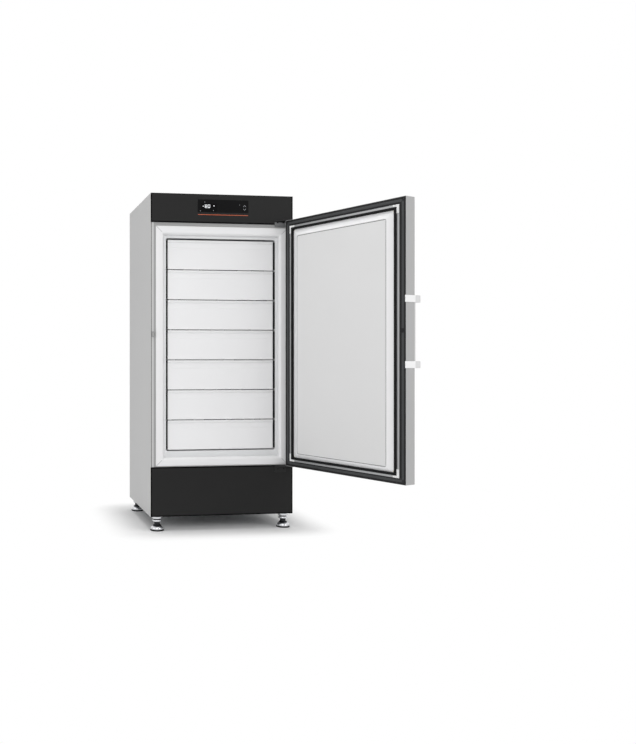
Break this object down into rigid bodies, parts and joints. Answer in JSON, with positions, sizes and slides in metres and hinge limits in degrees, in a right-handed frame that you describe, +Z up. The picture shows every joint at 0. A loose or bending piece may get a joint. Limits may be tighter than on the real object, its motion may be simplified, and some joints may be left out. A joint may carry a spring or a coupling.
{
  "type": "ultra low temperature freezer",
  "caption": "Upright laboratory freezer on levelling feet, with an insulated hinged door standing open, pull-out inner drawers and a display panel above the door.",
  "frame": {"origin": "on the floor under the middle of the cabinet's footprint", "axes": "+Z up, -Y towards the front where the door opens, +X to the right seen from the front"},
  "size_m": [1.1905, 1.5125, 1.922],
  "materials": {
    "grey_paint": "light grey powder coat",
    "flange_grey": "grey powder coat",
    "cover_black": "satin dark grey powder coat",
    "hinge_grey": "satin dark grey powder coat",
    "white_moulding": "satin white moulded plastic",
    "liner_paint": "white powder coat on sheet steel",
    "rail_steel": "light powder coated folded angle",
    "zinc_steel": "zinc plated steel",
    "foam": "rigid foam",
    "barrier_foil": "foil covered panel",
    "copper": "bare copper tube",
    "chrome_steel": "bright chrome plate",
    "display_black": "black backed glass",
    "accent_orange": "translucent orange plastic",
    "board_green": "printed circuit board and plastic parts",
    "box_steel": "painted sheet",
    "compressor_black": "semi gloss black enamel",
    "mount_rubber": "black rubber",
    "fin_aluminium": "bare fins",
    "fan_plastic": "black moulded plastic",
    "motor_steel": "black painted steel",
    "gland_plastic": "black nylon",
    "plug_rubber": "grey silicone rubber",
    "probe_steel": "stainless steel",
    "door_paint": "light grey powder coat",
    "door_black": "dark grey extruded plastic",
    "retainer_grey": "satin extrusion",
    "gasket_rubber": "black silicone rubber",
    "bush_nylon": "nylon",
    "handle_grey": "satin light grey moulding"
  },
  "bodies": {
    "root": {"accent_strip": "accent_orange", "access_sleeve": "white_moulding", "base_tray": "zinc_steel", "breaker_collar": "white_moulding", "bulkheads": "grey_paint", "cable_gland": "gland_plastic", "cascade_exchanger": "box_steel", "chamber_probe": "probe_steel", "compressor_mounts": "mount_rubber", "compressors": "compressor_black", "condenser": "fin_aluminium", "control_board": "board_green", "control_box": "box_steel", "display_glass": "display_black", "display_module": "board_green", "drawer_rails": "rail_steel", "evaporator_coil": "copper", "fan_motor": "motor_steel", "fan_shroud": "zinc_steel", "fascia": "cover_black", "foot_nuts": "chrome_steel", "front_frame": "flange_grey", "hinge_lower": "hinge_grey", "hinge_upper": "hinge_grey", "inner_liner": "liner_paint", "insulation_foam": "foam", "keeper_plate": "zinc_steel", "kickplate": "cover_black", "levelling_feet": "chrome_steel", "line_vessels": "compressor_black", "panel_screws": "zinc_steel", "port_plug": "plug_rubber", "rear_grille": "grey_paint", "rear_panel": "grey_paint", "refrigerant_pipes": "copper", "side_panels": "grey_paint", "top_panel": "grey_paint", "vacuum_panels": "barrier_foil"},
    "door": {"door_skin": "door_paint", "door_frame": "door_black", "door_foam": "foam", "door_liner": "white_moulding", "gasket_retainer": "retainer_grey", "retainer_corners": "white_moulding", "door_gasket": "gasket_rubber", "hinge_bushes": "bush_nylon", "handle_brackets": "handle_grey", "handle_covers": "white_moulding"},
    "handle_lever": {"handle_lever": "handle_grey"},
    "handle_pushers": {"handle_pushers": "handle_grey"},
    "lock_cylinder": {"lock_cylinder": "probe_steel"},
    "lock_bolt": {"lock_bolt": "probe_steel"},
    "fan_rotor": {"fan_rotor": "fan_plastic"},
    "drawer_1": {"drawer_1": "liner_paint"},
    "drawer_2": {"drawer_2": "liner_paint"},
    "drawer_3": {"drawer_3": "liner_paint"},
    "drawer_4": {"drawer_4": "liner_paint"},
    "drawer_5": {"drawer_5": "liner_paint"},
    "drawer_6": {"drawer_6": "liner_paint"},
    "drawer_7": {"drawer_7": "liner_paint"}
  },
  "joints": [
    {"name": "door_hinge", "type": "hinge", "parent": "root", "child": "door", "pos_m": [0.399, -0.379, 1.07], "axis": [0, 0, 1], "range_deg": [-112, 8]},
    {"name": "drawer_1_slide", "type": "slide", "parent": "root", "child": "drawer_1", "axis": [0, -1, 0], "range_m": [0, 0.43]},
    {"name": "drawer_2_slide", "type": "slide", "parent": "root", "child": "drawer_2", "axis": [0, -1, 0], "range_m": [0, 0.43]},
    {"name": "drawer_3_slide", "type": "slide", "parent": "root", "child": "drawer_3", "axis": [0, -1, 0], "range_m": [0, 0.43]},
    {"name": "drawer_4_slide", "type": "slide", "parent": "root", "child": "drawer_4", "axis": [0, -1, 0], "range_m": [0, 0.43]},
    {"name": "drawer_5_slide", "type": "slide", "parent": "root", "child": "drawer_5", "axis": [0, -1, 0], "range_m": [0, 0.43]},
    {"name": "drawer_6_slide", "type": "slide", "parent": "root", "child": "drawer_6", "axis": [0, -1, 0], "range_m": [0, 0.43]},
    {"name": "drawer_7_slide", "type": "slide", "parent": "root", "child": "drawer_7", "axis": [0, -1, 0], "range_m": [0, 0.43]},
    {"name": "handle_pull", "type": "hinge", "parent": "door", "child": "handle_lever", "pos_m": [0.74783, -1.10089, 1.1143], "axis": [0, 0, -1], "range_deg": [0, 12], "stiffness_Nm_per_rad": 3},
    {"name": "pusher_slide", "type": "slide", "parent": "door", "child": "handle_pushers", "axis": [-0.9272, -0.3746, 0], "range_m": [0, 0.008]},
    {"name": "lock_turn", "type": "hinge", "parent": "door", "child": "lock_cylinder", "pos_m": [0.73372, -1.10228, 1.12], "axis": [-0.9272, -0.3746, 0], "range_deg": [0, 90]},
    {"name": "bolt_slide", "type": "slide", "parent": "door", "child": "lock_bolt", "axis": [-0.9272, -0.3746, 0], "range_m": [0, 0.01]},
    {"name": "fan_spin", "type": "hinge", "parent": "root", "child": "fan_rotor", "pos_m": [0, 0.243, 0.215], "axis": [0, 1, 0], "continuous": true}
  ],
  "couplings": [
    {"joint": "pusher_slide", "follows": "handle_pull", "m_per_rad": 0.038},
    {"joint": "bolt_slide", "follows": "lock_turn", "m_per_rad": 0.0063}
  ]
}
